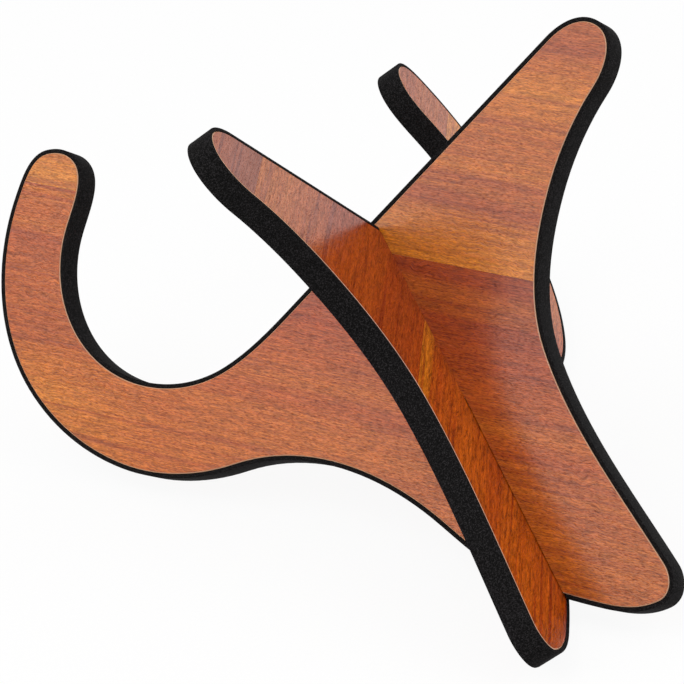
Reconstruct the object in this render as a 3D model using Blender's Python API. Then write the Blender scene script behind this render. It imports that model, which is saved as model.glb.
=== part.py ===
"""Knock-down stand for a small fretted instrument: two slotted swan-shaped plates that cross.

Metres, +Z up. The floor is z = 0 and the origin is under the middle of the stand.
The front, where the instrument leans in, looks along -Y. Each plate is drawn flat first:
a runs along its floor line (hook negative, foot positive) and b runs up the plate from that line.
"""

import math

import bmesh
import bpy
from mathutils import Matrix, Vector

MM = 0.001

# Overall sizes of one plate, in millimetres
HOOK_REACH = 142.0  # front of the hook, from the foot of the slot axis
HOOK_HEIGHT = 98.5  # hook tip above the floor line
CRADLE_DEPTH_POINT = 29.0  # lowest point of the cradle above the floor line
STRAIGHT_LENGTH = 117.8  # straight back-rest edge
STRAIGHT_ANGLE = 57.66  # its slope against the floor line, in degrees
FOOT_REACH = 133.5  # end of the foot, from the foot of the slot axis

# Board make-up, in millimetres
BOARD_THICKNESS = 9.0
FACING_THICKNESS = 0.6
FOAM_THICKNESS = 1.2
SEAT_GAP = 0.3  # between any two pieces that are glued or laid together

# The crossing, in millimetres and degrees
SLOT_AXIS_HEIGHT = 96.4  # where the slot axis meets a = 0
SLOT_TILT = 45.0  # slot axis down to the floor line
SLOT_CLEARANCE = 0.3  # each side of the other board
FOAM_SETBACK = 0.4  # foam stops this much further from the other board, so that it doesn't catch
SLOT_END_CLEARANCE = 0.3  # between the two slot ends when the plates are pushed home
STAND_OFF = 3.6  # how far the right plate stands up the slot from there
CROSSING_ANGLE = 90.0  # plates meet square, so a square-cut slot fits

# Joint lines of the facing strips, as heights at a = 0
GRAIN_TILT = 2.0  # degrees, grain against the floor line
RIGHT_TOP_JOINTS = (92.3,)
RIGHT_BOTTOM_JOINTS = (76.0, 156.8)
LEFT_TOP_JOINTS = (76.0, 156.8)
LEFT_BOTTOM_JOINTS = (60.0, 140.0)

# Curve fineness
TURN_PER_STEP = 11.0  # degrees of turn that one straight step may take
LONGEST_STEP = 16.0  # millimetres

COLOURS = {
    "facing_red": ((0.37, 0.105, 0.028), 0.32),
    "facing_amber": ((0.46, 0.16, 0.04), 0.32),
    "core": ((0.23, 0.13, 0.06), 0.75),
    "foam": ((0.012, 0.011, 0.012), 0.9),
}


def outline_knots():
    """The wood edge of a plate, clockwise, as (a, b, heading in degrees, straight to the next)."""
    slope = math.radians(STRAIGHT_ANGLE)
    foot_a = -17.5
    foot_b = 72.0
    end_a = foot_a + STRAIGHT_LENGTH * math.cos(slope)
    end_b = foot_b + STRAIGHT_LENGTH * math.sin(slope)
    return [
        # Round hook tip
        (7.0 - HOOK_REACH, HOOK_HEIGHT, 22.0, False),
        (17.5 - HOOK_REACH, HOOK_HEIGHT, -27.0, False),
        (23.0 - HOOK_REACH, HOOK_HEIGHT - 24.0, -91.0, False),
        # Cradle
        (35.5 - HOOK_REACH, CRADLE_DEPTH_POINT + 14.0, -46.0, False),
        (-71.0, CRADLE_DEPTH_POINT, 2.0, False),
        (-40.0, CRADLE_DEPTH_POINT + 12.5, 43.0, False),
        # Straight back-rest edge and round arm tip
        (foot_a, foot_b, STRAIGHT_ANGLE, True),
        (end_a, end_b, STRAIGHT_ANGLE, False),
        (end_a + 14.5, end_b + 8.0, -14.0, False),
        (end_a + 20.0, end_b - 12.0, -110.0, False),
        # Rear edge down to the foot
        (59.5, 124.5, -90.0, False),
        (73.0, 74.0, -54.0, False),
        (FOOT_REACH - 1.5, 19.0, -40.0, False),
        (FOOT_REACH, 7.5, -141.0, False),
        (FOOT_REACH - 17.0, 2.0, -177.0, False),
        # Arched underside and belly of the hook
        (74.5, 5.0, 165.0, False),
        (46.5, 15.5, 161.0, False),
        (-27.5, 12.0, -150.0, False),
        (-70.5, 1.5, 176.0, False),
        (26.5 - HOOK_REACH, 18.5, 142.0, False),
        (-HOOK_REACH, 82.0, 85.0, False),
    ]


def turn_between(first, second):
    return (second - first + 180.0) % 360.0 - 180.0


def stretch(start, end):
    """Points and headings from one knot up to the next, as an arc-like cubic."""
    turn = turn_between(start[2], end[2])
    chord = math.hypot(end[0] - start[0], end[1] - start[1])
    if start[3]:
        return [((start[0], start[1]), start[2])]
    steps = max(math.ceil(abs(turn) / TURN_PER_STEP), math.ceil(chord / LONGEST_STEP), 2)
    reach = chord / 3.0 / max(math.cos(math.radians(abs(turn)) / 4.0) ** 2, 0.3)
    out = Vector((math.cos(math.radians(start[2])), math.sin(math.radians(start[2]))))
    back = Vector((math.cos(math.radians(end[2])), math.sin(math.radians(end[2]))))
    p0 = Vector(start[:2])
    p3 = Vector(end[:2])
    p1 = p0 + out * reach
    p2 = p3 - back * reach
    points = []
    for step in range(steps):
        s = step / steps
        r = 1.0 - s
        place = p0 * r**3 + p1 * 3 * r * r * s + p2 * 3 * r * s * s + p3 * s**3
        along = (p1 - p0) * r * r + (p2 - p1) * 2 * r * s + (p3 - p2) * s * s
        points.append(((place.x, place.y), math.degrees(math.atan2(along.y, along.x))))
    return points


def outline(offset=0.0):
    """The closed plate outline moved outward by offset, in millimetres."""
    knots = outline_knots()
    traced = []
    for number, knot in enumerate(knots):
        traced += stretch(knot, knots[(number + 1) % len(knots)])
    moved = []
    for (a, b), heading in traced:
        side = math.radians(heading + 90.0)
        moved.append((a + offset * math.cos(side), b + offset * math.sin(side)))
    return moved


def slot_span():
    """Where the slot axis enters and leaves the wood, measured down the axis from a = 0."""
    tilt = math.radians(SLOT_TILT)
    along = Vector((math.cos(tilt), -math.sin(tilt)))
    across = Vector((math.sin(tilt), math.cos(tilt)))
    start = Vector((0.0, SLOT_AXIS_HEIGHT))
    points = [Vector(p) - start for p in outline()]
    found = []
    for number, first in enumerate(points):
        second = points[(number + 1) % len(points)]
        before = first.dot(across)
        after = second.dot(across)
        if (before > 0.0) != (after > 0.0):
            share = before / (before - after)
            found.append((first + (second - first) * share).dot(along))
    found.sort()
    return found[0], found[-1]


def slot_point(distance):
    tilt = math.radians(SLOT_TILT)
    return Vector((distance * math.cos(tilt), SLOT_AXIS_HEIGHT - distance * math.sin(tilt)))


def slot_middle():
    top, bottom = slot_span()
    return 0.5 * (top + bottom)


def plate_matrix(side):
    """World placement of a plate's drawing: side is +1 for the right plate and -1 for the left.

    The left plate stands on the floor, and the pair is centred over the origin.
    """
    tilt = math.radians(SLOT_TILT)
    half = math.radians(CROSSING_ANGLE) / 2.0
    lean = math.atan(math.cos(half) * math.tan(tilt))
    down = Vector((0.0, math.cos(lean), -math.sin(lean)))
    up = Vector((0.0, math.sin(lean), math.cos(lean)))
    arm = up * math.cos(half) - Vector((side, 0.0, 0.0)) * math.sin(half)
    a_axis = down * math.cos(tilt) + arm * math.sin(tilt)
    b_axis = arm * math.cos(tilt) - down * math.sin(tilt)
    turn = Matrix((a_axis, b_axis, a_axis.cross(b_axis))).transposed().to_4x4()
    edge = [a_axis * a + b_axis * b for a, b in outline(SEAT_GAP + FOAM_THICKNESS)]
    thick = a_axis.cross(b_axis) * (0.5 * BOARD_THICKNESS)
    corners = [p + thick for p in edge] + [p - thick for p in edge]
    lift = -min(p.z for p in corners)
    middle = -0.5 * (min(p.y for p in corners) + max(p.y for p in corners))
    across = -(b_axis * SLOT_AXIS_HEIGHT).x
    origin = slot_point(slot_middle())
    place = Vector((across, middle, lift)) + a_axis * origin.x + b_axis * origin.y
    place.y += 0.5 * STAND_OFF * down.y
    if side > 0.0:
        place -= down * STAND_OFF
    return Matrix.Translation(place * MM) @ turn


def local(points):
    """Drawing points in metres, measured from the middle of the slot."""
    origin = slot_point(slot_middle())
    return [((a - origin.x) * MM, (b - origin.y) * MM) for a, b in points]


def material(name):
    colour, roughness = COLOURS[name]
    made = bpy.data.materials.get(name) or bpy.data.materials.new(name)
    made.use_nodes = True
    shader = made.node_tree.nodes["Principled BSDF"]
    shader.inputs["Base Color"].default_value = (*colour, 1.0)
    shader.inputs["Roughness"].default_value = roughness
    shader.inputs["Metallic"].default_value = 0.0
    made.diffuse_color = (*colour, 1.0)
    return made


def add_object(name, bm, parent, looks=None, helper=False):
    bmesh.ops.recalc_face_normals(bm, faces=bm.faces)
    mesh = bpy.data.meshes.new(name)
    bm.to_mesh(mesh)
    bm.free()
    made = bpy.data.objects.new(name, mesh)
    bpy.context.scene.collection.objects.link(made)
    made.parent = parent
    if helper:
        made.hide_render = True
        made.display_type = "WIRE"
    else:
        mesh.materials.append(material(looks))
    return made


def prism(points, low, high):
    """A flat outline in metres, given thickness from low to high in millimetres."""
    bm = bmesh.new()
    ring = [bm.verts.new((x, y, low * MM)) for x, y in points]
    face = bm.faces.new(ring)
    grown = bmesh.ops.extrude_face_region(bm, geom=[face])
    risen = [item for item in grown["geom"] if isinstance(item, bmesh.types.BMVert)]
    bmesh.ops.translate(bm, verts=risen, vec=(0.0, 0.0, (high - low) * MM))
    return bm


def hoop(outer, inner, low, high):
    """A closed strip between two outlines of the same number of points."""
    bm = bmesh.new()
    loops = []
    for points, height in ((outer, low), (outer, high), (inner, high), (inner, low)):
        loops.append([bm.verts.new((x, y, height * MM)) for x, y in points])
    count = len(outer)
    for number in range(4):
        first = loops[number]
        second = loops[(number + 1) % 4]
        for step in range(count):
            after = (step + 1) % count
            bm.faces.new((first[step], first[after], second[after], second[step]))
    return bm


def slot_cutter(name, parent, opens_at_top, clearance):
    """The square-cut slot: from just past the middle of the crossing out through one edge."""
    top, bottom = slot_span()
    overshoot = 20.0
    half_end = 0.5 * SLOT_END_CLEARANCE
    if opens_at_top:
        first = top - overshoot
        last = slot_middle() + half_end
    else:
        first = slot_middle() - half_end
        last = bottom + overshoot
    tilt = math.radians(SLOT_TILT)
    across = Vector((math.sin(tilt), math.cos(tilt)))
    half_width = 0.5 * BOARD_THICKNESS + clearance
    corners = [
        slot_point(first) + across * half_width,
        slot_point(last) + across * half_width,
        slot_point(last) - across * half_width,
        slot_point(first) - across * half_width,
    ]
    body = prism(local(corners), -BOARD_THICKNESS, BOARD_THICKNESS)
    return add_object(name, body, parent, helper=True)


def cut(target, cutter, operation):
    modifier = target.modifiers.new(operation.lower(), "BOOLEAN")
    modifier.operation = operation
    modifier.solver = "EXACT"
    modifier.object = cutter


def joint_height(height, a):
    return height + a * math.tan(math.radians(GRAIN_TILT))


def joint_at_slot(height):
    """The point where a joint line crosses the slot axis."""
    slope = math.tan(math.radians(GRAIN_TILT))
    fall = math.tan(math.radians(SLOT_TILT))
    a = (SLOT_AXIS_HEIGHT - height) / (slope + fall)
    return a, joint_height(height, a)


def strip_region(lower, upper, left, right):
    """A four-cornered piece of the drawing between two joint lines and two sides.

    A side is an a value, or the word slot for the slot axis.
    """
    half_gap = 0.5 * SEAT_GAP
    corners = []
    for height, side in ((lower, left), (lower, right), (upper, right), (upper, left)):
        shifted = height + (half_gap if height == lower else -half_gap)
        if side == "slot":
            corners.append(joint_at_slot(shifted))
        else:
            corners.append((side, joint_height(shifted, side)))
    return corners


def facing(name, parent, looks, face_sign, slot, region):
    """One strip of face sheet: the plate outline kept inside its region, less the slot."""
    outer = 0.5 * BOARD_THICKNESS * face_sign
    inner = outer - FACING_THICKNESS * face_sign
    made = add_object(name, prism(local(outline()), min(inner, outer), max(inner, outer)), parent, looks)
    window = prism(local(region), -BOARD_THICKNESS, BOARD_THICKNESS)
    cut(made, add_object(name + "_window", window, parent, helper=True), "INTERSECT")
    cut(made, slot, "DIFFERENCE")
    return made


def clear_scene():
    for item in list(bpy.data.objects):
        bpy.data.objects.remove(item, do_unlink=True)


def build_plate(side_name, side, opens_at_top, strips):
    """Core board, foam edging and face strips of one plate, hung on an empty on the slot axis."""
    frame = bpy.data.objects.new(side_name + "_plate", None)
    bpy.context.scene.collection.objects.link(frame)
    frame.matrix_world = plate_matrix(side)
    slot = slot_cutter(side_name + "_slot_cutter", frame, opens_at_top, SLOT_CLEARANCE)

    core_half = 0.5 * BOARD_THICKNESS - FACING_THICKNESS - SEAT_GAP
    core = add_object(side_name + "_core", prism(local(outline()), -core_half, core_half), frame, "core")
    cut(core, slot, "DIFFERENCE")

    foam_outer = local(outline(SEAT_GAP + FOAM_THICKNESS))
    foam_inner = local(outline(SEAT_GAP))
    ring = hoop(foam_outer, foam_inner, -0.5 * BOARD_THICKNESS, 0.5 * BOARD_THICKNESS)
    foam = add_object(side_name + "_edge_foam", ring, frame, "foam")
    foam_clearance = SLOT_CLEARANCE + FOAM_SETBACK
    foam_end = slot_cutter(side_name + "_foam_end_cutter", frame, opens_at_top, foam_clearance)
    cut(foam, foam_end, "DIFFERENCE")

    # The drawing's own normal looks down on the left plate and up on the right one
    for name, face, looks, region in strips:
        face_sign = side if face == "top" else -side
        facing(f"{side_name}_{face}_{name}", frame, looks, face_sign, slot, region)


def main():
    clear_scene()
    front = -HOOK_REACH - 20.0
    rear = FOOT_REACH + 20.0
    floor = -30.0
    sky = 260.0
    cradle_top = SLOT_AXIS_HEIGHT + 20.0
    limb = 0.5 * (23.0 - HOOK_REACH - 71.0)

    low = RIGHT_TOP_JOINTS[0]
    low_b, high_b = RIGHT_BOTTOM_JOINTS
    right = [
        ("lower_strip", "top", "facing_red", strip_region(floor, low, front, rear)),
        ("arm_strip", "top", "facing_amber", strip_region(low, sky, limb, rear)),
        ("hook_tip_strip", "top", "facing_amber", strip_region(low, sky, front, limb)),
        ("lower_strip", "bottom", "facing_amber", strip_region(floor, low_b, front, rear)),
        ("arm_strip", "bottom", "facing_red", strip_region(low_b, high_b, limb, rear)),
        ("arm_tip_strip", "bottom", "facing_amber", strip_region(high_b, sky, limb, rear)),
        ("hook_tip_strip", "bottom", "facing_red", strip_region(low_b, high_b, front, limb)),
    ]
    low, high = LEFT_TOP_JOINTS
    low_b, high_b = LEFT_BOTTOM_JOINTS
    left = [
        ("lower_strip", "top", "facing_amber", strip_region(floor, low, front, rear)),
        ("cradle_strip", "top", "facing_red", strip_region(low, cradle_top, limb, "slot")),
        ("arm_strip", "top", "facing_red", strip_region(low, high, "slot", rear)),
        ("arm_tip_strip", "top", "facing_amber", strip_region(high, sky, limb, rear)),
        ("hook_tip_strip", "top", "facing_red", strip_region(low, high, front, limb)),
        ("lower_strip", "bottom", "facing_red", strip_region(floor, low_b, front, rear)),
        ("cradle_strip", "bottom", "facing_amber", strip_region(low_b, cradle_top, limb, "slot")),
        ("arm_strip", "bottom", "facing_amber", strip_region(low_b, high_b, "slot", rear)),
        ("arm_tip_strip", "bottom", "facing_red", strip_region(high_b, sky, limb, rear)),
        ("hook_tip_strip", "bottom", "facing_amber", strip_region(low_b, high_b, front, limb)),
    ]
    build_plate("right", 1.0, False, right)
    build_plate("left", -1.0, True, left)


main()
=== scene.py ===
# %% [markdown]
# # A knock-down ukulele stand
# Two flat plates of one swan-like outline cross along a slanting slot and hold a ukulele.
# Each plate is a fibre-board core with strips of lacquered veneer glued to both faces,
# and a strip of black foam runs round its edge. Sizes here are in millimetres unless a name
# says otherwise, and a piece is drawn flat first and then carried to its place in metres.

import math

import bmesh
import bpy
from mathutils import Matrix, Quaternion, Vector


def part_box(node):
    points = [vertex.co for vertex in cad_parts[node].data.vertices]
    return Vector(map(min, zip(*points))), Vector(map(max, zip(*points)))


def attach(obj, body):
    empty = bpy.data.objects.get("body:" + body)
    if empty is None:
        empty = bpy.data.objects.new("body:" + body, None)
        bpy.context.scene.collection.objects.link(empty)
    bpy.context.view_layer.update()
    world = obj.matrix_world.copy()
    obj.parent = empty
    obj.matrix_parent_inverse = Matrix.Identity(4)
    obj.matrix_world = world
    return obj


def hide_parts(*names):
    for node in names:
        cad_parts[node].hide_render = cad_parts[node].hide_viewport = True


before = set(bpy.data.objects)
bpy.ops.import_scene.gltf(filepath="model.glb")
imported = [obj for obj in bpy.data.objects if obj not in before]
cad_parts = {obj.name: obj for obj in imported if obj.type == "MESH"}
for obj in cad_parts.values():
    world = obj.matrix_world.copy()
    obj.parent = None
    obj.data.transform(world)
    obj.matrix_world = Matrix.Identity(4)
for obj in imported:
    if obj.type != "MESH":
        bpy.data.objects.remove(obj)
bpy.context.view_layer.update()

# %% [markdown]
# ## The drawing of a plate
# Both plates are cut to one template. On paper, a runs along the floor line with the hook on
# the negative side and the foot on the positive, and b runs up from that line. A band-saw
# template could be traced point by point, but then nobody could change it, so the outline is
# a short list of knots, each with the heading of the edge there, and arcs between them.

# %% Sizes of one plate
MM = 0.001
HOOK_REACH = 142.0
HOOK_HEIGHT = 98.5
CRADLE_LOW = 29.0
STRAIGHT_LENGTH = 117.8
STRAIGHT_ANGLE = 57.66
FOOT_REACH = 133.5
BOARD_THICKNESS = 9.0
FOAM_THICKNESS = 1.2
SEAT_GAP = 0.3
SLOT_AXIS_HEIGHT = 96.4
SLOT_TILT = math.radians(45.0)
SLOT_END_CLEARANCE = 0.3
STAND_OFF = 3.6
CROSSING_ANGLE = math.radians(90.0)
GRAIN_TILT = math.radians(2.0)
HOOK_WIDTH = 23.0
CRADLE_MIDDLE = -71.0


# %% The knots of the outline
def outline_knots():
    """The wood edge, clockwise, as (a, b, heading in degrees, straight to the next knot)."""
    slope = math.radians(STRAIGHT_ANGLE)
    low_a, low_b = -17.5, 72.0
    end_a = low_a + STRAIGHT_LENGTH * math.cos(slope)
    end_b = low_b + STRAIGHT_LENGTH * math.sin(slope)
    hook_tip = [
        (7.0 - HOOK_REACH, HOOK_HEIGHT, 22.0, False),
        (17.5 - HOOK_REACH, HOOK_HEIGHT, -27.0, False),
        (HOOK_WIDTH - HOOK_REACH, HOOK_HEIGHT - 24.0, -91.0, False),
    ]
    cradle = [
        (35.5 - HOOK_REACH, CRADLE_LOW + 14.0, -46.0, False),
        (CRADLE_MIDDLE, CRADLE_LOW, 2.0, False),
        (-40.0, CRADLE_LOW + 12.5, 43.0, False),
    ]
    arm = [
        (low_a, low_b, STRAIGHT_ANGLE, True),
        (end_a, end_b, STRAIGHT_ANGLE, False),
        (end_a + 14.5, end_b + 8.0, -14.0, False),
        (end_a + 20.0, end_b - 12.0, -110.0, False),
    ]
    rear_and_foot = [
        (59.5, 124.5, -90.0, False),
        (73.0, 74.0, -54.0, False),
        (FOOT_REACH - 1.5, 19.0, -40.0, False),
        (FOOT_REACH, 7.5, -141.0, False),
        (FOOT_REACH - 17.0, 2.0, -177.0, False),
    ]
    underside = [
        (74.5, 5.0, 165.0, False),
        (46.5, 15.5, 161.0, False),
        (-27.5, 12.0, -150.0, False),
        (-70.5, 1.5, 176.0, False),
        (26.5 - HOOK_REACH, 18.5, 142.0, False),
        (-HOOK_REACH, 82.0, 85.0, False),
    ]
    return hook_tip + cradle + arm + rear_and_foot + underside


print("knots:", len(outline_knots()))

# %% From knots to a fine outline
TURN_PER_STEP = 2.5
LONGEST_STEP = 4.0
LEAST_SQUARED_COSINE = 0.3


def stretch(start, end):
    """Points and headings from one knot up to the next, as an arc-like cubic."""
    turn = (end[2] - start[2] + 180.0) % 360.0 - 180.0
    chord = math.hypot(end[0] - start[0], end[1] - start[1])
    steps = max(math.ceil(abs(turn) / TURN_PER_STEP), math.ceil(chord / LONGEST_STEP), 2)
    # Handles of this length make a cubic that is close to an arc
    quarter_turn = math.radians(abs(turn)) / 4.0
    reach = chord / 3.0 / max(math.cos(quarter_turn) ** 2, LEAST_SQUARED_COSINE)
    if start[3]:
        reach = chord / 3.0
    out = Vector((math.cos(math.radians(start[2])), math.sin(math.radians(start[2]))))
    back = Vector((math.cos(math.radians(end[2])), math.sin(math.radians(end[2]))))
    p0, p3 = Vector(start[:2]), Vector(end[:2])
    p1, p2 = p0 + out * reach, p3 - back * reach
    points = []
    for step in range(steps):
        s = step / steps
        r = 1.0 - s
        place = p0 * r**3 + p1 * 3 * r * r * s + p2 * 3 * r * s * s + p3 * s**3
        along = (p1 - p0) * r * r + (p2 - p1) * 2 * r * s + (p3 - p2) * s * s
        points.append((place, math.atan2(along.y, along.x)))
    return points


def outline(offset=0.0):
    """The closed outline moved outward by offset."""
    knots = outline_knots()
    moved = []
    for number, knot in enumerate(knots):
        for place, heading in stretch(knot, knots[(number + 1) % len(knots)]):
            side = heading + math.pi / 2.0
            moved.append(place + offset * Vector((math.cos(side), math.sin(side))))
    return moved


print("outline points:", len(outline()))

# %% [markdown]
# ## The slot and the two plates in space
# Each plate has half of a square-cut slot on one slanting axis: the right plate's opens at its
# underside, the left one's at its back-rest edge. Pushed together they cross at a right angle,
# and the snug slots hold the right plate where it is left, here a few millimetres off its seat.
# The place of a plate could be typed in as nine numbers, but it follows from the tilt of the
# slot and the crossing angle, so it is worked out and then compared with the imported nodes.


# %% The slot axis
def slot_point(distance):
    """A point of the slot axis, measured down it from a = 0."""
    return Vector((distance * math.cos(SLOT_TILT), SLOT_AXIS_HEIGHT - distance * math.sin(SLOT_TILT)))


def slot_span():
    """Where the slot axis enters and leaves the wood."""
    along = Vector((math.cos(SLOT_TILT), -math.sin(SLOT_TILT)))
    across = Vector((math.sin(SLOT_TILT), math.cos(SLOT_TILT)))
    points = [p - slot_point(0.0) for p in outline()]
    found = []
    for first, second in zip(points, points[1:] + points[:1]):
        before, after = first.dot(across), second.dot(across)
        if (before > 0.0) != (after > 0.0):
            share = before / (before - after)
            found.append((first + (second - first) * share).dot(along))
    return min(found), max(found)


slot_top, slot_bottom = slot_span()
slot_middle = 0.5 * (slot_top + slot_bottom)
drawing_origin = slot_point(slot_middle)
print(f"slot axis inside the wood: {slot_bottom - slot_top:.1f} mm")


# %% The place of each plate
def plate_matrix(side):
    """Carries the drawing into the world: side is +1 for the right plate, -1 for the left."""
    half = CROSSING_ANGLE / 2.0
    lean = math.atan(math.cos(half) * math.tan(SLOT_TILT))
    down = Vector((0.0, math.cos(lean), -math.sin(lean)))
    up = Vector((0.0, math.sin(lean), math.cos(lean)))
    arm = up * math.cos(half) - Vector((side, 0.0, 0.0)) * math.sin(half)
    a_axis = down * math.cos(SLOT_TILT) + arm * math.sin(SLOT_TILT)
    b_axis = arm * math.cos(SLOT_TILT) - down * math.sin(SLOT_TILT)
    normal = a_axis.cross(b_axis)
    turn = Matrix((a_axis, b_axis, normal)).transposed().to_4x4()
    # The foam's outer edges, from which the height over the floor and the middle follow
    edge = [a_axis * p.x + b_axis * p.y for p in outline(SEAT_GAP + FOAM_THICKNESS)]
    thick = normal * (0.5 * BOARD_THICKNESS)
    corners = [p + thick for p in edge] + [p - thick for p in edge]
    lift = -min(p.z for p in corners)
    middle = -0.5 * (min(p.y for p in corners) + max(p.y for p in corners))
    across = -(b_axis * SLOT_AXIS_HEIGHT).x
    place = Vector((across, middle, lift)) + a_axis * drawing_origin.x + b_axis * drawing_origin.y
    place.y += 0.5 * STAND_OFF * down.y
    if side > 0.0:
        place -= down * STAND_OFF
    return Matrix.Translation(place * MM) @ turn


SIDES = {"right": 1.0, "left": -1.0}
plates = {name: plate_matrix(side) for name, side in SIDES.items()}
for name, matrix in plates.items():
    edge = [matrix @ ((p - drawing_origin) * MM).to_3d() for p in outline()]
    top, core_top = max(p.z for p in edge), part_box(name + "_core")[1].z
    print(name, "top of the drawing", round(top, 4), "and of the core", round(core_top, 4))

# %% [markdown]
# ## Helpers for shapes
# A flat strip is a prism: an outline with thickness. Strips and slots are then cut out of it
# with Boolean modifiers, as a saw would. Each finished mesh keeps its drawing coordinates in
# an attribute, so that the grain of the wood runs along the plate, whatever way it leans.

# %% Meshes from outlines
collection = bpy.context.scene.collection


def flat(points):
    """Drawing points in metres, measured from the middle of the slot."""
    return [((p[0] - drawing_origin.x) * MM, (p[1] - drawing_origin.y) * MM) for p in points]


def layered(rings):
    """A closed solid through rings of (points, height), which have the same number of points."""
    bm = bmesh.new()
    loops = []
    for points, height in rings:
        loops.append([bm.verts.new((x, y, height * MM)) for x, y in flat(points)])
    bm.faces.new(loops[0])
    bm.faces.new(loops[-1])
    for lower, upper in zip(loops, loops[1:]):
        for step in range(len(lower)):
            after = (step + 1) % len(lower)
            bm.faces.new((lower[step], lower[after], upper[after], upper[step]))
    bmesh.ops.recalc_face_normals(bm, faces=bm.faces)
    mesh = bpy.data.meshes.new("layered")
    bm.to_mesh(mesh)
    bm.free()
    return mesh


def as_object(name, mesh):
    made = bpy.data.objects.new(name, mesh)
    collection.objects.link(made)
    return made


# %% Cutting and finishing
def evaluated(made):
    """The object's mesh with its modifiers applied."""
    graph = bpy.context.evaluated_depsgraph_get()
    return bpy.data.meshes.new_from_object(made.evaluated_get(graph), depsgraph=graph)


def cut(made, cuts):
    """Applies (operation, cutter mesh) pairs to an object with exact Booleans."""
    cutters = []
    for operation, mesh in cuts:
        cutter = as_object(made.name + "_cutter", mesh)
        modifier = made.modifiers.new(operation, "BOOLEAN")
        modifier.operation = operation
        modifier.solver = "EXACT"
        modifier.object = cutter
        cutters.append(cutter)
    result = evaluated(made)
    made.modifiers.clear()
    made.data = result
    for cutter in cutters:
        bpy.data.objects.remove(cutter)


def finish_piece(made, plate, material, smooth_angle=30.0):
    """Stores the drawing coordinates in millimetres, then carries the mesh to its plate."""
    mesh = made.data
    drawing = mesh.attributes.new("drawing", "FLOAT_VECTOR", "POINT")
    for vertex, stored in zip(mesh.vertices, drawing.data):
        x, y, z = vertex.co / MM
        stored.vector = (x + drawing_origin.x, y + drawing_origin.y, z)
    mesh.transform(plates[plate])
    mesh.materials.clear()
    mesh.materials.append(material)
    mesh.shade_smooth()
    mesh.set_sharp_from_angle(angle=math.radians(smooth_angle))
    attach(made, plate + "_plate")


# %% The saw cut of each slot
# The gap on each side of the other plate: the wood's, and the foam's, which ends short of it
SLOT_CLEARANCES = {"right": 0.25, "left": 0.1}
FOAM_SETBACK = 0.6
# How far a cutter reaches past the wood
OVERSHOOT = 20.0


def slot_mesh(opens_at_top, clearance):
    """From just past the middle of the crossing out through one edge."""
    half_end = 0.5 * SLOT_END_CLEARANCE
    first = slot_top - OVERSHOOT if opens_at_top else slot_middle - half_end
    last = slot_middle + half_end if opens_at_top else slot_bottom + OVERSHOOT
    across = Vector((math.sin(SLOT_TILT), math.cos(SLOT_TILT))) * (0.5 * BOARD_THICKNESS + clearance)
    corners = [slot_point(first) + across, slot_point(last) + across]
    corners += [slot_point(last) - across, slot_point(first) - across]
    return layered([(corners, -BOARD_THICKNESS), (corners, BOARD_THICKNESS)])


OPENS_AT_TOP = {"right": False, "left": True}
slot_cuts = {}
foam_cuts = {}
for side, at_top in OPENS_AT_TOP.items():
    slot_cuts[side] = ("DIFFERENCE", slot_mesh(at_top, SLOT_CLEARANCES[side]))
    foam_cuts[side] = ("DIFFERENCE", slot_mesh(at_top, FOAM_SETBACK))
print("slot widths:", {side: BOARD_THICKNESS + 2.0 * gap for side, gap in SLOT_CLEARANCES.items()})

# %% [markdown]
# ## Helpers for materials
# Colours are written as the sRGB hex values that a paint chart gives, and Blender's shaders
# want linear light, so one function converts them. Shader trees are long lists of nodes, and
# one function that adds a node with its settings and its links keeps them readable.


# %% Colours and nodes
def linear(code):
    """An sRGB hex colour as linear red, green, blue and alpha."""
    values = [int(code[i:i + 2], 16) / 255.0 for i in (1, 3, 5)]
    return [v / 12.92 if v <= 0.04045 else ((v + 0.055) / 1.055) ** 2.4 for v in values] + [1.0]


def add(tree, kind, settings=None, values=None, links=None):
    """Adds a node, sets its properties and input values, and links outputs into its inputs."""
    node = tree.nodes.new(kind)
    for key, value in (settings or {}).items():
        setattr(node, key, value)
    for key, value in (values or {}).items():
        node.inputs[key].default_value = value
    for key, source in (links or {}).items():
        tree.links.new(source, node.inputs[key])
    return node


def new_material(name):
    made = bpy.data.materials.new(name)
    made.use_nodes = True
    made.node_tree.nodes.clear()
    return made, made.node_tree


def fill_ramp(node, stops):
    """Gives a Color Ramp its (position, hex colour) stops."""
    elements = node.color_ramp.elements
    while len(elements) < len(stops):
        elements.new(0.5)
    for element, (position, code) in zip(elements, stops):
        element.position = position
        element.color = linear(code)


print("white paper as light:", [round(v, 3) for v in linear("#f2f2f2")[:3]])

# %% [markdown]
# ## Lacquered sapele veneer
# The faces are strips of reddish-brown veneer, sapele by its look, laid edge to edge with the
# grain along the floor line and finished with satin lacquer. Sapele shows growth bands a few
# millimetres wide from amber to plum, dark lines along the grain, short open pores, and a fine
# ripple of interlocked grain. A picture of wood could be wrapped on, but a procedural one stays
# sharp at any distance. So a few named wood tones are laid across the strip as bands, and each
# of the next cells adds one thing that the eye finds in the real wood. The frequencies are per
# millimetre, first along the grain and then across it.

# %% The tones of the wood
TONES = {
    "gold": "#cb7910",
    "amber": "#c4710e",
    "honey": "#bd670c",
    "orange": "#b55e0c",
    "russet": "#ae550c",
    "red": "#a64c0c",
    "dark": "#9d450c",
    "copper": "#bb600a",
    "brown": "#8f3d0e",
    "plum": "#974623",
    "rust": "#b45406",
    "brick": "#aa4906",
    "umber": "#9d4006",
}
MULTIPLY = {"data_type": "RGBA", "blend_type": "MULTIPLY"}
print("tones of wood:", len(TONES))


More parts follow.
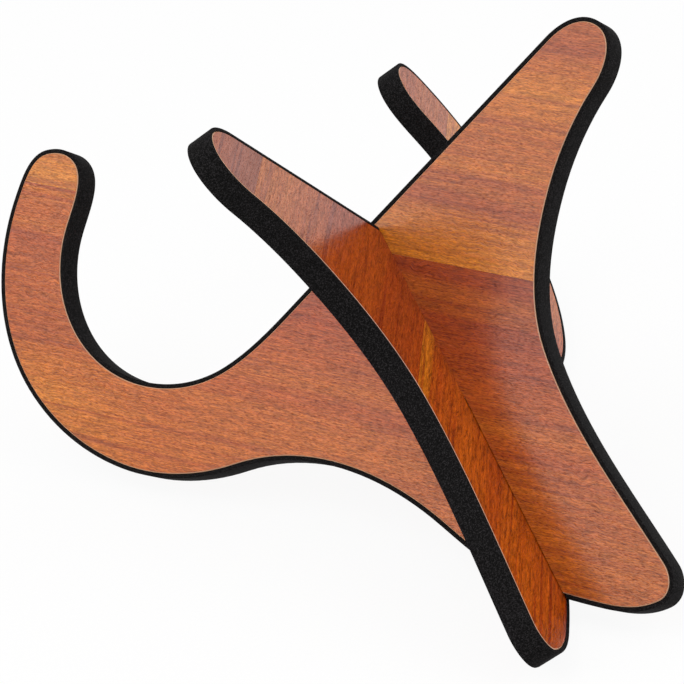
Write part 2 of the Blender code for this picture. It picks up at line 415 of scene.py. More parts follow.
# %% Patterns along the grain
def stretched(tree, place, per_mm, depth=0.0, **noise):
    """Noise that is stretched along the grain; depth takes another slice of it."""
    space = add(tree, "ShaderNodeMapping", values={"Scale": (*per_mm, 1.0), "Location": (0.0, 0.0, depth)},
                links={"Vector": place})
    made = add(tree, "ShaderNodeTexNoise", values={"Scale": 1.0, "Detail": 1.0, **noise},
               links={"Vector": space.outputs[0]})
    return made.outputs["Fac"]


def tinted(tree, colour, pattern, limits, strength, tint):
    """Multiplies a tint into the colour where the pattern rises from one limit to the other."""
    depth = add(tree, "ShaderNodeMapRange",
                values={"From Min": limits[0], "From Max": limits[1], "To Max": strength},
                links={"Value": pattern})
    mixed = add(tree, "ShaderNodeMix", MULTIPLY, {"B": linear(tint)},
                {"Factor": depth.outputs[0], "A": colour})
    return mixed.outputs["Result"], depth.outputs[0]


# %% Growth bands
# Bends about 70 mm long and 20 mm across move the bands up and down, by a millimetre or so
BEND_PER_MM = (0.014, 0.05)
BEND_REACH = 5.0
# Between these two values of a, the cradle's tones give way to the hook's
HOOK_TONES_FROM = -60.0
HOOK_TONES_FULL = -110.0


def band_ramp(tree, height, bands):
    """A Color Ramp of (height above the floor line at a = 0, tone) pairs."""
    lowest, highest = bands[0][0], bands[-1][0]
    share = add(tree, "ShaderNodeMapRange", values={"From Min": lowest, "From Max": highest},
                links={"Value": height})
    ramp = add(tree, "ShaderNodeValToRGB", links={"Fac": share.outputs[0]})
    ramp.color_ramp.interpolation = "EASE"
    fill_ramp(ramp, [((h - lowest) / (highest - lowest), TONES[tone]) for h, tone in bands])
    return ramp.outputs["Color"]


def growth_bands(tree, grain, parts, bands, hook_bands, drift):
    """Bands of tone by height that change towards the hook, and drift darker towards the foot."""
    bend = stretched(tree, grain, BEND_PER_MM, Detail=2.0)
    shift = add(tree, "ShaderNodeMath", {"operation": "MULTIPLY_ADD"},
                {1: BEND_REACH, 2: -0.5 * BEND_REACH}, {0: bend})
    height = add(tree, "ShaderNodeMath", links={0: parts.outputs["Y"], 1: shift.outputs[0]})
    hook_end = add(tree, "ShaderNodeMapRange",
                   values={"From Min": HOOK_TONES_FROM, "From Max": HOOK_TONES_FULL},
                   links={"Value": parts.outputs["X"]})
    toned = add(tree, "ShaderNodeMix", {"data_type": "RGBA"}, links={
        "Factor": hook_end.outputs[0], "A": band_ramp(tree, height.outputs[0], bands),
        "B": band_ramp(tree, height.outputs[0], hook_bands)})
    lengthwise = add(tree, "ShaderNodeMapRange", values={
        "From Min": -HOOK_REACH, "From Max": FOOT_REACH, "To Min": 1.0 + drift, "To Max": 1.0 - drift},
        links={"Value": parts.outputs["X"]})
    drifted = add(tree, "ShaderNodeMix", MULTIPLY, {"Factor": 1.0},
                  {"A": toned.outputs["Result"], "B": lengthwise.outputs[0]})
    return drifted.outputs["Result"]


# %% Growth lines
# Streaks lie side by side, about 1.3 mm apart and 80 mm long; lines are fewer and stronger,
# 100 mm long, and only the peaks of their noise show, about half a millimetre wide
STREAK_PER_MM = (0.012, 0.8)
STREAK_LIMITS = (0.42, 0.7)
STREAK_STRENGTH = 0.6
STREAK_TINT = "#cc9a78"
LINE_PER_MM = (0.01, 0.5)
LINE_LIMITS = (0.58, 0.66)
LINE_TINT = "#c08a76"


def growth_lines(tree, grain, colour, strength):
    """Soft streaks along the grain, and a few darker lines of the given strength."""
    streak = stretched(tree, grain, STREAK_PER_MM, Detail=4.0, Roughness=0.7, Distortion=0.15)
    streaked, _ = tinted(tree, colour, streak, STREAK_LIMITS, STREAK_STRENGTH, STREAK_TINT)
    line = stretched(tree, grain, LINE_PER_MM, depth=7.0)
    lined, _ = tinted(tree, streaked, line, LINE_LIMITS, strength, LINE_TINT)
    return lined


# %% [markdown]
# ## Ripples and pores
# In sapele the fibres lean one way in one layer of growth and the other way in the next, so
# the cut shows patches of fine wavy ripple between calm stretches. The ripples could be a
# picture or a wave texture, but such waves look ruled. Here thin dashes of noise run along the
# grain, and inside the patches a slower noise sways them to and fro. The pores sway with them.

# %% Interlocked grain
# The real fibres are finer than the render can show, so the dashes are drawn at a pitch of
# 0.4 to 0.7 mm, eight times as long as the pitch
RIPPLE_SLIMNESS = 8.0
# Waves among them, 6 mm long and 1.4 mm apart, with a small share of their contrast
WAVE_PER_MM = (0.16, 0.7)
WAVE_SHARE = 0.13
# A sway of at most 1.5 mm to either side, which turns about every 4 mm along the grain
SWAY_PER_MM = (0.25, 0.1)
SWAY_REACH = 1.5
# Patches about 70 mm long and 30 mm across
PATCH_PER_MM = (0.015, 0.035)
PATCH_LIMITS = (0.48, 0.6)
# Noise hardly ever leaves this range
NOISE_LIMITS = (0.3, 0.7)


def swayed_grain(tree, grain, parts):
    """Where the ripples are read, which sways inside the patches, and the patches themselves."""
    sway = stretched(tree, grain, SWAY_PER_MM)
    patch = stretched(tree, grain, PATCH_PER_MM, depth=3.0)
    patches = add(tree, "ShaderNodeMapRange",
                  values={"From Min": PATCH_LIMITS[0], "From Max": PATCH_LIMITS[1]},
                  links={"Value": patch})
    reach = add(tree, "ShaderNodeMapRange", values={"To Min": -SWAY_REACH, "To Max": SWAY_REACH},
                links={"Value": sway})
    swayed = add(tree, "ShaderNodeMath", {"operation": "MULTIPLY_ADD"},
                 links={0: reach.outputs[0], 1: patches.outputs[0], 2: parts.outputs["Y"]})
    place = add(tree, "ShaderNodeCombineXYZ",
                links={0: parts.outputs["X"], 1: swayed.outputs[0], 2: parts.outputs["Z"]})
    return place.outputs[0], patches.outputs[0]


def rippled(tree, colour, fine, waves, ripple):
    """Lightens and darkens the colour by the share ripple, and by a little of it in the waves."""
    lights = []
    for pattern, share in ((fine, ripple), (waves, WAVE_SHARE * ripple)):
        light = add(tree, "ShaderNodeMapRange", values={
            "From Min": NOISE_LIMITS[0], "From Max": NOISE_LIMITS[1],
            "To Min": 1.0 - share, "To Max": 1.0 + share}, links={"Value": pattern})
        lights.append(light.outputs[0])
    both = add(tree, "ShaderNodeMath", {"operation": "MULTIPLY"}, links={0: lights[0], 1: lights[1]})
    mixed = add(tree, "ShaderNodeMix", MULTIPLY, {"Factor": 1.0}, {"A": colour, "B": both.outputs[0]})
    return mixed.outputs["Result"]


# %% Pores and the painted highlight on the arris
# Pores are dark dashes, about 0.2 mm by 1.3 mm once PORE_SCALE is counted
PORE_PER_MM = (0.6, 4.0)
PORE_SCALE = 1.3
PORE_LIMITS = (0.56, 0.68)
PORE_STRENGTH = 0.6
PORE_TINT = "#a86a44"
# The arris beside the foam gets a painted highlight in pale colour, from this deep under the face to this
# deep
ARRIS_HIGHLIGHT_FROM = 0.02
ARRIS_HIGHLIGHT_FULL = 0.12
ARRIS_HIGHLIGHT_STRENGTH = 0.9
ARRIS_HIGHLIGHT_COLOUR = "#e8b794"


def painted_arris_highlight(tree, drawing, colour):
    """A painted highlight: pale colour on the outer arris beside the foam."""
    parts = add(tree, "ShaderNodeSeparateXYZ", links={0: drawing})
    from_middle = add(tree, "ShaderNodeMath", {"operation": "ABSOLUTE"}, links={0: parts.outputs["Z"]})
    arris_highlight_share = add(tree, "ShaderNodeMapRange", values={
        "From Min": 0.5 * BOARD_THICKNESS - ARRIS_HIGHLIGHT_FROM, "From Max": 0.5 * BOARD_THICKNESS - ARRIS_HIGHLIGHT_FULL,
        "To Max": ARRIS_HIGHLIGHT_STRENGTH}, links={"Value": from_middle.outputs[0]})
    mixed = add(tree, "ShaderNodeMix", {"data_type": "RGBA"}, {"B": linear(ARRIS_HIGHLIGHT_COLOUR)},
                {"Factor": arris_highlight_share.outputs[0], "A": colour})
    return mixed.outputs["Result"]


# %% [markdown]
# ## The lacquer
# Satin lacquer lies thinly on the wood and sinks a little into its pores and ripples.
# The wood under it is matt, so all of the shine is the lacquer's own. A glossy wood shader
# would look like plastic, because it shines evenly. Here the shader's coat is the lacquer: its
# weight drops in the pores and in the hollows of the ripples, and its surface follows them.

# %% Relief and lacquer
# The relief is some 0.05 mm deep, about what open pores under thin lacquer come to
RELIEF_M = 0.000045
CALM_WAVES = 0.25
PATCH_WAVES = 1.2
FINE_SHARE = 0.5
PORE_DENT = -0.45
PORE_DULLING = -0.5


def relief(tree, patches, fine, waves, pores):
    """The surface's own shape: waves mostly inside the patches, dashes everywhere, and pores."""
    rough = add(tree, "ShaderNodeMapRange", values={"To Min": CALM_WAVES, "To Max": PATCH_WAVES},
                links={"Value": patches})
    swell = add(tree, "ShaderNodeMath", {"operation": "MULTIPLY"}, links={0: rough.outputs[0], 1: waves})
    dashed = add(tree, "ShaderNodeMath", {"operation": "MULTIPLY_ADD"}, {1: FINE_SHARE},
                 {0: fine, 2: swell.outputs[0]})
    dented = add(tree, "ShaderNodeMath", {"operation": "MULTIPLY_ADD"}, {1: PORE_DENT},
                 {0: pores, 2: dashed.outputs[0]})
    bump = add(tree, "ShaderNodeBump", values={"Strength": 1.0, "Distance": RELIEF_M},
               links={"Height": dented.outputs[0]})
    return bump.outputs[0]


def lacquer_weight(tree, fine, pores, seal):
    """How much lacquer stands on the wood: seal in the hollows of the ripples, less in the pores."""
    sealed = add(tree, "ShaderNodeMapRange", values={
        "From Min": NOISE_LIMITS[0], "From Max": NOISE_LIMITS[1], "To Min": seal, "To Max": 1.0},
        links={"Value": fine})
    weight = add(tree, "ShaderNodeMath", {"operation": "MULTIPLY_ADD", "use_clamp": True},
                 {1: PORE_DULLING}, {0: pores, 2: sealed.outputs[0]})
    return weight.outputs[0]


# %% The veneer shader
# Sliced sapele, sanded and sprayed with satin lacquer: to the eye, warm depth under a soft sheen
# that breaks up along the ripples
def veneer(name, bands, seed, hook_bands=None, ripple=0.3, drift=0.0, pitch=0.4, lines=0.35, seal=0.6):
    """One board's veneer. bands are the tones by height and hook_bands those at the hook end.
    seed takes another piece of the noise, ripple is the contrast of the dashes and pitch their
    distance, drift darkens the wood towards the foot, lines is the strength of the dark lines,
    and seal is the least weight of the lacquer between the pores."""
    made, tree = new_material(name)
    drawing = add(tree, "ShaderNodeAttribute", {"attribute_name": "drawing"}).outputs["Vector"]
    turned = add(tree, "ShaderNodeMapping",
                 values={"Rotation": (0.0, 0.0, -GRAIN_TILT), "Location": (0.0, 0.0, seed)},
                 links={"Vector": drawing})
    grain = turned.outputs[0]
    parts = add(tree, "ShaderNodeSeparateXYZ", links={0: grain})
    banded = growth_bands(tree, grain, parts, bands, hook_bands or bands, drift)
    lined = growth_lines(tree, grain, banded, lines)
    place, patches = swayed_grain(tree, grain, parts)
    fine = stretched(tree, place, (1.0 / pitch / RIPPLE_SLIMNESS, 1.0 / pitch),
                     Detail=2.0, Roughness=0.8, Distortion=0.1)
    waves = stretched(tree, place, WAVE_PER_MM, Distortion=0.3)
    wavy = rippled(tree, lined, fine, waves, ripple)
    pore = stretched(tree, place, PORE_PER_MM, Scale=PORE_SCALE, Detail=0.0)
    pored, pores = tinted(tree, wavy, pore, PORE_LIMITS, PORE_STRENGTH, PORE_TINT)
    normal = relief(tree, patches, fine, waves, pores)
    # 1.5 is a usual IOR of lacquer, and the coat's roughness that of a satin finish
    # The base colour carries the painted highlight, in pale colour, on the outer arris
    shader = add(tree, "ShaderNodeBsdfPrincipled",
                 values={"Roughness": 0.5, "Specular IOR Level": 0.0, "Coat Roughness": 0.21,
                         "Coat IOR": 1.5},
                 links={"Base Color": painted_arris_highlight(tree, drawing, pored), "Normal": normal,
                        "Coat Weight": lacquer_weight(tree, fine, pores, seal),
                        "Coat Normal": normal})
    add(tree, "ShaderNodeOutputMaterial", links={"Surface": shader.outputs[0]})
    return made


# %% [markdown]
# ## The face strips
# Each face is made up from strips: a joint shows as a thin straight line where the colour
# jumps. The strips could be one sheet with painted joints, but on the bench they are pieces,
# so each one is its own solid: the plate outline, kept between two joint lines, less the slot.
# The outer arris is broken with a small chamfer that catches the light beside the foam.

# %% Where the joints lie
RIGHT_TOP_JOINTS = (92.3,)
RIGHT_BOTTOM_JOINTS = (76.0, 156.8)
LEFT_TOP_JOINTS = (76.0, 156.8)
LEFT_BOTTOM_JOINTS = (60.0, 140.0)
JOINT_GAP = 0.04
# Well outside the outline on each side
FRONT = -HOOK_REACH - OVERSHOOT
REAR = FOOT_REACH + OVERSHOOT
FLOOR = -30.0
SKY = 260.0
# Higher than the wood on the cradle's side of the slot
CRADLE_TOP = SLOT_AXIS_HEIGHT + OVERSHOOT
# Half-way between the inside of the hook and the bottom of the cradle
BETWEEN_LIMBS = 0.5 * (HOOK_WIDTH - HOOK_REACH + CRADLE_MIDDLE)


def joint_height(height, a):
    return height + a * math.tan(GRAIN_TILT)


def region(lower, upper, left, right):
    """Four corners between two joint lines and two sides, a values or the slot axis."""
    corners = []
    for height, gap, side in ((lower, 1, left), (lower, 1, right), (upper, -1, right), (upper, -1, left)):
        shifted = height + gap * 0.5 * JOINT_GAP
        a = side
        if side == "slot":
            a = (SLOT_AXIS_HEIGHT - shifted) / (math.tan(GRAIN_TILT) + math.tan(SLOT_TILT))
        corners.append((a, joint_height(shifted, a)))
    return corners


# %% The veneers of the faces that look up
right_top_low = veneer(
    "sapele_right_top_low",
    [(0, "copper"), (32, "copper"), (38, "rust"), (44, "copper"), (54, "rust"), (66, "brick"),
     (75, "umber"), (79, "russet"), (84, "russet"), (88, "umber"), (92, "umber")],
    hook_bands=[(0, "amber"), (22, "amber"), (30, "honey"), (42, "russet"), (65, "russet"), (70, "red"),
                (74, "red"), (78, "orange"), (81, "russet"), (84, "russet"), (87, "orange"),
                (89, "russet"), (90, "honey"), (91, "honey"), (92, "dark")],
    seed=3.0, ripple=0.5, drift=0.07, seal=0.68)
right_top_high = veneer(
    "sapele_right_top_high",
    [(92, "gold"), (104, "amber"), (109, "honey"), (112, "red"), (114, "red"), (116, "orange"),
     (120, "russet"), (121, "russet"), (125, "honey"), (131, "orange"), (141, "orange"), (146, "honey"),
     (152, "amber"), (157, "honey"), (161, "orange"), (165, "russet"), (168, "red"), (176, "russet")],
    seed=11.0, ripple=0.46, seal=0.75)
left_top_low = veneer(
    "sapele_left_top_low",
    [(0, "brick"), (14, "rust"), (28, "rust"), (36, "brick"), (44, "rust"), (61, "rust"), (67, "brick"),
     (69.5, "rust"), (71.5, "honey"), (74, "amber"), (78, "amber")],
    hook_bands=[(0, "honey"), (60, "honey"), (67, "gold"), (78, "gold")],
    seed=23.0, ripple=0.6, pitch=0.7, lines=0.7)
left_top_high = veneer(
    "sapele_left_top_high",
    [(74, "brick"), (84, "umber"), (120, "umber"), (128, "red"), (134, "russet"), (145, "orange"),
     (157, "orange")],
    hook_bands=[(74, "red"), (82, "russet"), (90, "russet"), (98, "red"), (157, "red")],
    seed=31.0, ripple=0.4, pitch=0.7, lines=0.55, seal=0.65)
left_top_tip = veneer(
    "sapele_left_top_tip",
    [(155, "brown"), (162, "brown"), (168, "plum"), (178, "red")],
    seed=41.0, ripple=0.2, pitch=0.7, lines=0.6, seal=0.7)
print("veneers of the upper faces:", sum(m.name.startswith("sapele") for m in bpy.data.materials))

# %% The veneers of the other faces
right_bottom_low = veneer(
    "sapele_right_bottom_low",
    [(0, "honey"), (24, "amber"), (46, "orange"), (60, "amber"), (78, "honey")], seed=53.0)
right_bottom_high = veneer(
    "sapele_right_bottom_high",
    [(74, "red"), (92, "orange"), (108, "dark"), (124, "red"), (140, "orange"), (158, "russet")],
    seed=61.0)
right_bottom_tip = veneer(
    "sapele_right_bottom_tip", [(155, "amber"), (164, "gold"), (178, "honey")], seed=71.0)
left_bottom_low = veneer(
    "sapele_left_bottom_low",
    [(0, "red"), (20, "orange"), (38, "dark"), (50, "red"), (62, "orange")], seed=83.0)
left_bottom_high = veneer(
    "sapele_left_bottom_high",
    [(58, "amber"), (74, "honey"), (90, "gold"), (108, "orange"), (124, "amber"), (142, "honey")],
    seed=97.0)
left_bottom_tip = veneer(
    "sapele_left_bottom_tip", [(138, "red"), (156, "dark"), (178, "orange")], seed=101.0)
print("veneers of all faces:", sum(m.name.startswith("sapele") for m in bpy.data.materials))

# %% The list of strips
# A name, the slot name of its finish, its veneer and its corners
low, = RIGHT_TOP_JOINTS
low_b, high_b = RIGHT_BOTTOM_JOINTS
strips = [
    ("right_top_lower", "face_red", right_top_low, region(FLOOR, low, FRONT, REAR)),
    ("right_top_arm", "face_amber", right_top_high, region(low, SKY, BETWEEN_LIMBS, REAR)),
    ("right_top_hook_tip", "face_amber", right_top_high, region(low, SKY, FRONT, BETWEEN_LIMBS)),
    ("right_bottom_lower", "face_amber", right_bottom_low, region(FLOOR, low_b, FRONT, REAR)),
    ("right_bottom_arm", "face_red", right_bottom_high, region(low_b, high_b, BETWEEN_LIMBS, REAR)),
    ("right_bottom_arm_tip", "face_amber", right_bottom_tip, region(high_b, SKY, BETWEEN_LIMBS, REAR)),
    ("right_bottom_hook_tip", "face_red", right_bottom_high,
     region(low_b, high_b, FRONT, BETWEEN_LIMBS)),
]
low, high = LEFT_TOP_JOINTS
low_b, high_b = LEFT_BOTTOM_JOINTS
strips += [
    ("left_top_lower", "face_amber", left_top_low, region(FLOOR, low, FRONT, REAR)),
    ("left_top_cradle", "face_red", left_top_high, region(low, CRADLE_TOP, BETWEEN_LIMBS, "slot")),
    ("left_top_arm", "face_red", left_top_high, region(low, high, "slot", REAR)),
    ("left_top_arm_tip", "face_amber", left_top_tip, region(high, SKY, BETWEEN_LIMBS, REAR)),
    ("left_top_hook_tip", "face_red", left_top_high, region(low, high, FRONT, BETWEEN_LIMBS)),
    ("left_bottom_lower", "face_red", left_bottom_low, region(FLOOR, low_b, FRONT, REAR)),
    ("left_bottom_cradle", "face_amber", left_bottom_high,
     region(low_b, CRADLE_TOP, BETWEEN_LIMBS, "slot")),
    ("left_bottom_arm", "face_amber", left_bottom_high, region(low_b, high_b, "slot", REAR)),
    ("left_bottom_arm_tip", "face_red", left_bottom_tip, region(high_b, SKY, BETWEEN_LIMBS, REAR)),
    ("left_bottom_hook_tip", "face_amber", left_bottom_high,
     region(low_b, high_b, FRONT, BETWEEN_LIMBS)),
]
print("strips:", len(strips))

# %% Saw out the strips
# The veneer with its glue, and the chamfer of its outer arris
VENEER_THICKNESS = 0.88
ARRIS = 0.33

for name, finish, material, corners in strips:
    plate, face = name.split("_")[:2]
    up = SIDES[plate] if face == "top" else -SIDES[plate]
    outer = 0.5 * BOARD_THICKNESS * up
    shoulder = outer - ARRIS * up
    inner = outer - VENEER_THICKNESS * up
    sheet = layered([(outline(), inner), (outline(), shoulder), (outline(-ARRIS), outer)])
    strip = as_object(name + "_veneer", sheet)
    window = layered([(corners, -BOARD_THICKNESS), (corners, BOARD_THICKNESS)])
    cut(strip, [("INTERSECT", window), slot_cuts[plate]])
    finish_piece(strip, plate, material)
    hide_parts(name + "_strip")
    print(strip.name, "faces:", len(strip.data.polygons))

# %% [markdown]
# ## The core boards
# Under the veneer is medium-density fibre-board: brown, matt, without grain. It shows only on
# the sawn walls of the slots. A plain brown would look like paint there, so fine noise mixes
# in the paler fibres.


# %% Fibre-board
# Sawn fibre-board: to the eye woolly and matt, without direction or gloss
def fibre_board():
    made, tree = new_material("sawn_fibre_board")
    drawing = add(tree, "ShaderNodeAttribute", {"attribute_name": "drawing"})
    # Fibre bundles about 0.4 mm across
    fibres = add(tree, "ShaderNodeTexNoise", values={"Scale": 2.4, "Detail": 4.0, "Roughness": 0.7},
                 links={"Vector": drawing.outputs["Vector"]})
    ramp = add(tree, "ShaderNodeValToRGB", links={"Fac": fibres.outputs["Fac"]})
    fill_ramp(ramp, [(0.3, "#5b4330"), (0.7, "#a2815d")])
    bump = add(tree, "ShaderNodeBump", values={"Strength": 0.4, "Distance": 0.1 * MM},
               links={"Height": fibres.outputs["Fac"]})
    shader = add(tree, "ShaderNodeBsdfPrincipled", values={"Roughness": 0.85, "Specular IOR Level": 0.3},
                 links={"Base Color": ramp.outputs["Color"], "Normal": bump.outputs[0]})
    add(tree, "ShaderNodeOutputMaterial", links={"Surface": shader.outputs[0]})
    return made


# %% Two cores
# Keeps the veneer's inner face and the core's from lying in one plane
GLUE_GAP = 0.02
board = fibre_board()
half_core = 0.5 * BOARD_THICKNESS - VENEER_THICKNESS - GLUE_GAP
for plate in SIDES:
    core = as_object(plate + "_board_core", layered([(outline(), -half_core), (outline(), half_core)]))
    cut(core, [slot_cuts[plate]])
    finish_piece(core, plate, board)
    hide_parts(plate + "_core")
    print(core.name, "faces:", len(core.data.polygons))

# %% [markdown]
# ## The foam edging
# A self-adhesive strip of black closed-cell foam (EVA) is bent round the whole edge and ends at
# the slot. It is one profile swept along one path, which is what Geometry Nodes do best: the
# tree sweeps a rounded rectangle along the outline, and its sizes are named inputs. The cut at
# the slot is sawn afterwards, so that its ends follow the slot walls. Cloth simulation would
# round it like a pillow, but a thin glued strip stays flat, so it is only declared as padding.


# %% Closed-cell foam
# EVA foam cut from a sheet: to the eye nearly black and matt, with greyer specks of open cells
def cell_foam():
    made, tree = new_material("cut_eva_foam")
    drawing = add(tree, "ShaderNodeAttribute", {"attribute_name": "drawing"})
    # Real cells are 0.1 to 0.2 mm across and are drawn at 0.3 mm, coarse enough to show
    cells = add(tree, "ShaderNodeTexVoronoi", values={"Scale": 3.2},
                links={"Vector": drawing.outputs["Vector"]})
    cloudy = add(tree, "ShaderNodeTexNoise", values={"Scale": 1.6, "Detail": 3.0},
                 links={"Vector": drawing.outputs["Vector"]})
    mixed = add(tree, "ShaderNodeMath", {"operation": "MULTIPLY"},
                links={0: cells.outputs["Distance"], 1: cloudy.outputs["Fac"]})
    ramp = add(tree, "ShaderNodeValToRGB", links={"Fac": mixed.outputs[0]})
    fill_ramp(ramp, [(0.08, "#060606"), (0.26, "#121111"), (0.42, "#2b292a")])
    bump = add(tree, "ShaderNodeBump", values={"Strength": 0.5, "Distance": 0.12 * MM},
               links={"Height": mixed.outputs[0]})
    shader = add(tree, "ShaderNodeBsdfPrincipled", values={"Roughness": 0.8, "Specular IOR Level": 0.04},
                 links={"Base Color": ramp.outputs["Color"], "Normal": bump.outputs[0]})
    add(tree, "ShaderNodeOutputMaterial", links={"Surface": shader.outputs[0]})
    return made


# %% The sweep
def edging_tree():
    """Sweeps a rounded rectangle along the edge loop that it is given."""
    tree = bpy.data.node_groups.new("foam_edging", "GeometryNodeTree")
    tree.interface.new_socket("Geometry", in_out="INPUT", socket_type="NodeSocketGeometry")
    for name in ("Thickness", "Width", "Corner Radius"):
        tree.interface.new_socket(name, in_out="INPUT", socket_type="NodeSocketFloat")
    tree.interface.new_socket("Material", in_out="INPUT", socket_type="NodeSocketMaterial")
    tree.interface.new_socket("Geometry", in_out="OUTPUT", socket_type="NodeSocketGeometry")
    given = add(tree, "NodeGroupInput")
    path = add(tree, "GeometryNodeMeshToCurve", links={"Mesh": given.outputs["Geometry"]})
    upright = add(tree, "GeometryNodeSetCurveNormal", {"mode": "Z_UP"}, links={"Curve": path.outputs[0]})
    section = add(tree, "GeometryNodeCurvePrimitiveQuadrilateral",
                  links={"Width": given.outputs["Thickness"], "Height": given.outputs["Width"]})
    rounded = add(tree, "GeometryNodeFilletCurve", {"mode": "POLY"}, {"Count": 3},
                  {"Curve": section.outputs[0], "Radius": given.outputs["Corner Radius"]})
    swept = add(tree, "GeometryNodeCurveToMesh",
                links={"Curve": upright.outputs[0], "Profile Curve": rounded.outputs[0]})
    real = add(tree, "GeometryNodeRealizeInstances", links={"Geometry": swept.outputs[0]})
    painted = add(tree, "GeometryNodeSetMaterial",
                  links={"Geometry": real.outputs[0], "Material": given.outputs["Material"]})
    add(tree, "NodeGroupOutput", links={"Geometry": painted.outputs[0]})
    return tree


# %% Edge both plates
# The foam starts this far off the wood and fills the rest of its place; its corners are round
FOAM_FIT = 0.05
FOAM_CORNER = 0.3
foam_depth = SEAT_GAP + FOAM_THICKNESS - FOAM_FIT
foam = cell_foam()
edging = edging_tree()
inputs = [item for item in edging.interface.items_tree if item.in_out == "INPUT"]
sockets = {item.name: item.identifier for item in inputs}

for plate in SIDES:
    loop = [(x, y, 0.0) for x, y in flat(outline(FOAM_FIT + 0.5 * foam_depth))]
    path = bpy.data.meshes.new(plate + "_foam_path")
    path.from_pydata(loop, [(i, (i + 1) % len(loop)) for i in range(len(loop))], [])
    strip = as_object(plate + "_foam_edging", path)
    sweep = strip.modifiers.new("sweep", "NODES")
    sweep.node_group = edging
    sweep[sockets["Thickness"]] = foam_depth * MM
    sweep[sockets["Width"]] = BOARD_THICKNESS * MM
    sweep[sockets["Corner Radius"]] = FOAM_CORNER * MM
    sweep[sockets["Material"]] = foam
    swept = evaluated(strip)
    strip.modifiers.clear()
    strip.data = swept
    shell = bmesh.new()
    shell.from_mesh(swept)
    bmesh.ops.recalc_face_normals(shell, faces=shell.faces)
    shell.to_mesh(swept)
    shell.free()
    cut(strip, [foam_cuts[plate]])
    finish_piece(strip, plate, foam, smooth_angle=50.0)
    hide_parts(plate + "_edge_foam")
    print(strip.name, "faces:", len(strip.data.polygons))

# %% [markdown]
# ## The studio
# The photograph is a product shot on white: soft light from all round and hardly a shadow. A
# closed white box would do it, but a pale floor, a bright world and two large soft lamps are
# simpler. What the camera sees of the floor is mostly a glow, so that it reads white, and the
# rest is lit paper, so that it still takes a faint shadow under the stand.

# %% Floor
# Studio paper: to the eye plain, white and matt, with a mottle about a millimetre across
FLOOR_SIZE_M = 6.0
GLOW_SHARE = 0.92
MOTTLE_PER_M = 900.0


def paper_floor():
    made, tree = new_material("white_paper")
    place = add(tree, "ShaderNodeTexCoord")
    mottle = add(tree, "ShaderNodeTexNoise", values={"Scale": MOTTLE_PER_M, "Detail": 2.0},
                 links={"Vector": place.outputs["Object"]})
    ramp = add(tree, "ShaderNodeValToRGB", links={"Fac": mottle.outputs["Fac"]})
    fill_ramp(ramp, [(0.3, "#e9e9e9"), (0.7, "#f4f4f4")])
    paper = add(tree, "ShaderNodeBsdfDiffuse", links={"Color": ramp.outputs["Color"]})
    glow = add(tree, "ShaderNodeEmission", values={"Color": linear("#ffffff"), "Strength": 1.0})
    rays = add(tree, "ShaderNodeLightPath")
    seen = add(tree, "ShaderNodeMath", {"operation": "MAXIMUM"},
               links={0: rays.outputs["Is Camera Ray"], 1: rays.outputs["Is Glossy Ray"]})
    share = add(tree, "ShaderNodeMath", {"operation": "MULTIPLY"}, {1: GLOW_SHARE}, {0: seen.outputs[0]})
    both = add(tree, "ShaderNodeMixShader",
               links={0: share.outputs[0], 1: paper.outputs[0], 2: glow.outputs[0]})
    add(tree, "ShaderNodeOutputMaterial", links={"Surface": both.outputs[0]})
    return made


floor_mesh = bpy.data.meshes.new("floor")
reach = FLOOR_SIZE_M / 2.0
floor_corners = [(-reach, -reach, 0), (reach, -reach, 0), (reach, reach, 0), (-reach, reach, 0)]
floor_mesh.from_pydata(floor_corners, [], [(0, 1, 2, 3)])
floor = as_object("floor", floor_mesh)
floor_mesh.materials.append(paper_floor())
print("floor:", FLOOR_SIZE_M, "m")

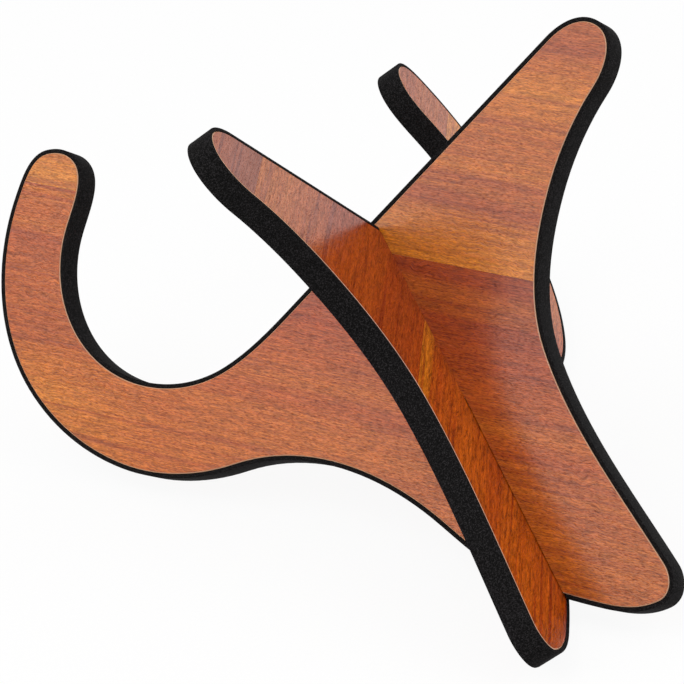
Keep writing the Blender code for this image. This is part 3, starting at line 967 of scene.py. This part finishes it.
# %% World
# White to the camera and in gloss and glass, and dimmer as the light on the stand
WORLD_LIGHT = 0.66
world = bpy.data.worlds.new("studio")
bpy.context.scene.world = world
world.use_nodes = True
sky = world.node_tree
sky.nodes.clear()
rays = add(sky, "ShaderNodeLightPath")
seen = add(sky, "ShaderNodeMath", {"operation": "MAXIMUM"},
           links={0: rays.outputs["Is Camera Ray"], 1: rays.outputs["Is Glossy Ray"]})
seen_or_through = add(sky, "ShaderNodeMath", {"operation": "MAXIMUM"},
                      links={0: seen.outputs[0], 1: rays.outputs["Is Transmission Ray"]})
lighting = add(sky, "ShaderNodeBackground", values={"Color": linear("#ffffff"), "Strength": WORLD_LIGHT})
white = add(sky, "ShaderNodeBackground", values={"Color": linear("#ffffff"), "Strength": 1.0})
either = add(sky, "ShaderNodeMixShader",
             links={0: seen_or_through.outputs[0], 1: lighting.outputs[0], 2: white.outputs[0]})
add(sky, "ShaderNodeOutputWorld", links={"Surface": either.outputs[0]})
print("world light:", WORLD_LIGHT)


# %% Lamps
STAND_MIDDLE_M = Vector((0.0, 0.0, 0.07))


def soft_lamp(name, place, size, power):
    """A square lamp that looks at the middle of the stand."""
    lamp = bpy.data.lights.new(name, "AREA")
    lamp.size = size
    lamp.energy = power
    made = bpy.data.objects.new(name, lamp)
    collection.objects.link(made)
    made.location = place
    made.rotation_mode = "QUATERNION"
    made.rotation_quaternion = (STAND_MIDDLE_M - Vector(place)).to_track_quat("-Z", "Y")
    print(name, "lamp:", power, "W,", size, "m wide")


soft_lamp("key", place=(0.9, -0.08, 1.0), size=1.1, power=8.05)
soft_lamp("fill", place=(-0.78, 0.65, 0.88), size=1.0, power=6.2)

# %% [markdown]
# ## The camera
# The photograph was taken from behind and above with a long lens, from about a metre away and
# turned a few degrees about the lens axis. The place, direction and focal length were found by
# fitting the outline of both plates to it, so no shift of the lens is needed.

# %% Camera
IMAGE_SIDE_PIXELS = 684
FOCAL_PIXELS = 3209.7
CAMERA_PLACE_M = Vector((0.40977, 0.83938, 0.57031))
LOOK = Vector((-0.367558, -0.793219, -0.485494))
ROLL_DEGREES = 4.37
SENSOR_MM = 36.0

lens = bpy.data.cameras.new("camera")
lens.sensor_width = SENSOR_MM
lens.lens = FOCAL_PIXELS / IMAGE_SIDE_PIXELS * SENSOR_MM
camera = bpy.data.objects.new("camera", lens)
collection.objects.link(camera)
camera.location = CAMERA_PLACE_M
camera.rotation_mode = "QUATERNION"
roll = Quaternion((0.0, 0.0, 1.0), math.radians(-ROLL_DEGREES))
camera.rotation_quaternion = LOOK.to_track_quat("-Z", "Y") @ roll
bpy.context.scene.camera = camera
bpy.context.scene.view_settings.view_transform = "Standard"
print("camera right:", [round(v, 3) for v in camera.rotation_quaternion @ Vector((1, 0, 0))])
